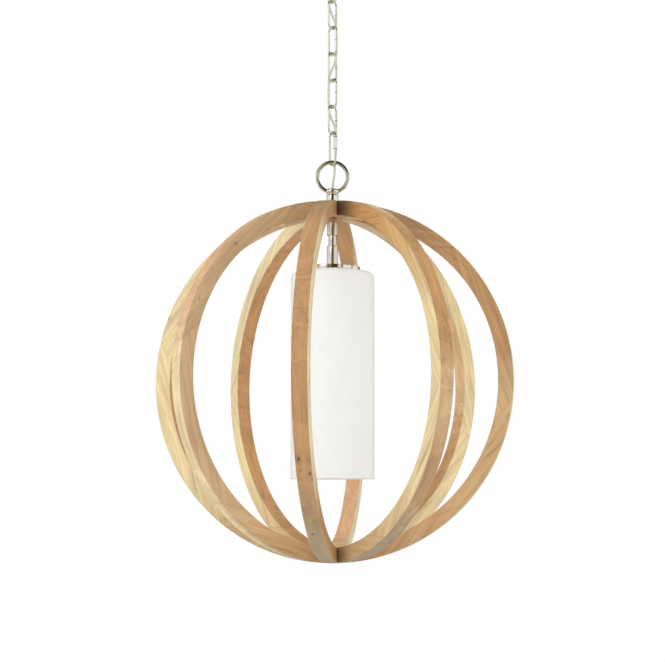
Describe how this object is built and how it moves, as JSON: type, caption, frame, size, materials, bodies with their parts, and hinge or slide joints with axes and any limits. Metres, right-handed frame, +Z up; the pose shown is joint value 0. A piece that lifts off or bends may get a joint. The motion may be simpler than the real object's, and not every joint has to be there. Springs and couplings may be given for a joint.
{
  "type": "pendant light",
  "caption": "Ceiling pendant: a round cage of wooden hoops hung from a ring, chain and canopy, with an open-bottomed opal glass cylinder shade, lampholder and bulb inside.",
  "frame": {"origin": "middle of the ceiling strap's upper face, on the ceiling plane", "axes": "+Z up into the ceiling, the light hangs along -Z, -Y is its front"},
  "size_m": [0.556, 0.5559, 1.0064],
  "materials": {
    "zinc_steel": "zinc plated",
    "ground_green": "green plated",
    "polished_nickel": "polished nickel",
    "chain_nickel": "polished nickel, warm",
    "natural_wood": "pale weathered, matt",
    "opal_glass": "opal white, satin",
    "gasket_fibre": "fibre",
    "lampholder_plastic": "moulded white",
    "insulator_ceramic": "glazed white",
    "brass": "plain",
    "bulb_cap_metal": "bright",
    "bulb_frosted": "frosted white",
    "conductor_insulation": "pale insulation",
    "connector_plastic": "moulded orange",
    "clear_flex": "pale translucent sheath"
  },
  "bodies": {
    "ceiling_mount": {"ceiling_strap": "zinc_steel", "threaded_nipple": "zinc_steel", "nipple_locknuts": "zinc_steel", "ground_screw": "ground_green", "collar_loop": "polished_nickel", "supply_wires": "conductor_insulation", "wire_nuts": "connector_plastic", "flex_upper": "clear_flex"},
    "canopy": {"canopy": "polished_nickel"},
    "collar_ring": {"collar_ring": "polished_nickel"},
    "chain_link_1": {"chain_link_1": "chain_nickel", "flex_span_1": "clear_flex"},
    "chain_link_2": {"chain_link_2": "chain_nickel", "flex_span_2": "clear_flex"},
    "chain_link_3": {"chain_link_3": "chain_nickel", "flex_span_3": "clear_flex"},
    "chain_link_4": {"chain_link_4": "chain_nickel", "flex_span_4": "clear_flex"},
    "chain_link_5": {"chain_link_5": "chain_nickel", "flex_span_5": "clear_flex"},
    "chain_link_6": {"chain_link_6": "chain_nickel", "flex_span_6": "clear_flex"},
    "quick_link": {"quick_link": "chain_nickel", "flex_span_7": "clear_flex"},
    "quick_link_sleeve": {"quick_link_sleeve": "chain_nickel"},
    "hanging_ring": {"hanging_ring": "polished_nickel", "flex_span_8": "clear_flex"},
    "cage": {"loop_holder": "polished_nickel", "lamp_pipe": "zinc_steel", "wood_ring_a": "natural_wood", "wood_ring_b": "natural_wood", "wood_ring_c": "natural_wood", "wood_ring_d": "natural_wood", "upper_sleeve": "polished_nickel", "stem_tube": "polished_nickel", "lower_sleeve": "polished_nickel", "seat_washer": "polished_nickel", "shade_cap": "polished_nickel", "glass_shade": "opal_glass", "shade_gasket": "gasket_fibre", "lampholder_shell": "lampholder_plastic", "lampholder_insulator": "insulator_ceramic", "terminal_screws": "brass", "screw_shell": "brass", "centre_contact": "brass", "lampholder_leads": "conductor_insulation", "flex_span_9": "clear_flex"},
    "shade_ring": {"shade_ring": "lampholder_plastic"},
    "bulb": {"bulb_contact": "brass", "bulb_cap": "bulb_cap_metal", "bulb_globe": "bulb_frosted"}
  },
  "joints": [
    {"name": "canopy_drop", "type": "slide", "parent": "ceiling_mount", "child": "canopy", "axis": [0, 0, -1], "range_m": [0, 0.0105]},
    {"name": "collar_ring_turn", "type": "hinge", "parent": "canopy", "child": "collar_ring", "pos_m": [0, 0, -0.0223], "axis": [0, 0, 1], "continuous": true},
    {"name": "chain_swing_1", "type": "hinge", "parent": "ceiling_mount", "child": "chain_link_1", "pos_m": [0, 0, -0.0546], "axis": [-0.7071, -0.7071, 0], "range_deg": [-10, 10], "deforming": ["flex_span_1"]},
    {"name": "chain_swing_2", "type": "hinge", "parent": "chain_link_1", "child": "chain_link_2", "pos_m": [0, 0, -0.09615], "axis": [0.7071, -0.7071, 0], "range_deg": [-10, 10], "deforming": ["flex_span_2"]},
    {"name": "chain_swing_3", "type": "hinge", "parent": "chain_link_2", "child": "chain_link_3", "pos_m": [0, 0, -0.13825], "axis": [-0.7071, -0.7071, 0], "range_deg": [-10, 10], "deforming": ["flex_span_3"]},
    {"name": "chain_swing_4", "type": "hinge", "parent": "chain_link_3", "child": "chain_link_4", "pos_m": [0, 0, -0.18035], "axis": [0.7071, -0.7071, 0], "range_deg": [-10, 10], "deforming": ["flex_span_4"]},
    {"name": "chain_swing_5", "type": "hinge", "parent": "chain_link_4", "child": "chain_link_5", "pos_m": [0, 0, -0.22245], "axis": [-0.7071, -0.7071, 0], "range_deg": [-10, 10], "deforming": ["flex_span_5"]},
    {"name": "chain_swing_6", "type": "hinge", "parent": "chain_link_5", "child": "chain_link_6", "pos_m": [0, 0, -0.26455], "axis": [0.7071, -0.7071, 0], "range_deg": [-10, 10], "deforming": ["flex_span_6"]},
    {"name": "quick_link_swing", "type": "hinge", "parent": "chain_link_6", "child": "quick_link", "pos_m": [0, 0, -0.30665], "axis": [-0.7071, -0.7071, 0], "range_deg": [-10, 10], "deforming": ["flex_span_7"]},
    {"name": "sleeve_turn", "type": "hinge", "parent": "quick_link", "child": "quick_link_sleeve", "pos_m": [0.0043, -0.00614, -0.32125], "axis": [0, 0, 1], "continuous": true},
    {"name": "ring_swing", "type": "hinge", "parent": "quick_link", "child": "hanging_ring", "pos_m": [0, 0, -0.3556], "axis": [0.5736, -0.8192, 0], "range_deg": [-10, 10], "deforming": ["flex_span_8"]},
    {"name": "cage_swing", "type": "hinge", "parent": "hanging_ring", "child": "cage", "pos_m": [0, 0, -0.3983], "axis": [1, 0, 0], "range_deg": [-10, 10], "deforming": ["flex_span_9"]},
    {"name": "shade_ring_turn", "type": "hinge", "parent": "cage", "child": "shade_ring", "pos_m": [0, 0, -0.52354], "axis": [0, 0, 1], "continuous": true},
    {"name": "bulb_out", "type": "slide", "parent": "cage", "child": "bulb", "axis": [0, 0, -1], "range_m": [0, 0.1]}
  ]
}
